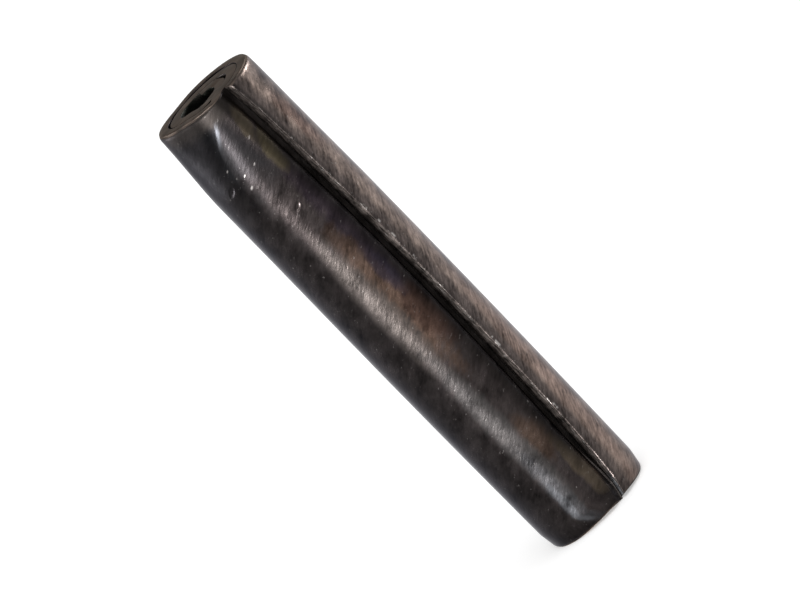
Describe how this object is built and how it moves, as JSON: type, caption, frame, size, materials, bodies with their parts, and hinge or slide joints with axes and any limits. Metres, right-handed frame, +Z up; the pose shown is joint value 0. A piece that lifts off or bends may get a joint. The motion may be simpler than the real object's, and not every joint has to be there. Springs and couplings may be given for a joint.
{
  "type": "coiled spring pin",
  "caption": "Coiled spring pin: spring-steel strip rolled on itself into a round pin with tapered ends, held in a drilled hole by its own spring.",
  "frame": {"origin": "centre of the pin's bottom end face, on the pin's axis", "axes": "+Z up along the pin's axis to its upper end, -Y to the front, +X to the right; the seam's open step runs up the front right, between -Y and +X"},
  "size_m": [0.0084, 0.0084, 0.0381],
  "materials": {
    "oiled_spring_steel": "dark oiled temper finish, satin"
  },
  "bodies": {
    "root": {"spring_pin": "oiled_spring_steel"}
  },
  "joints": []
}
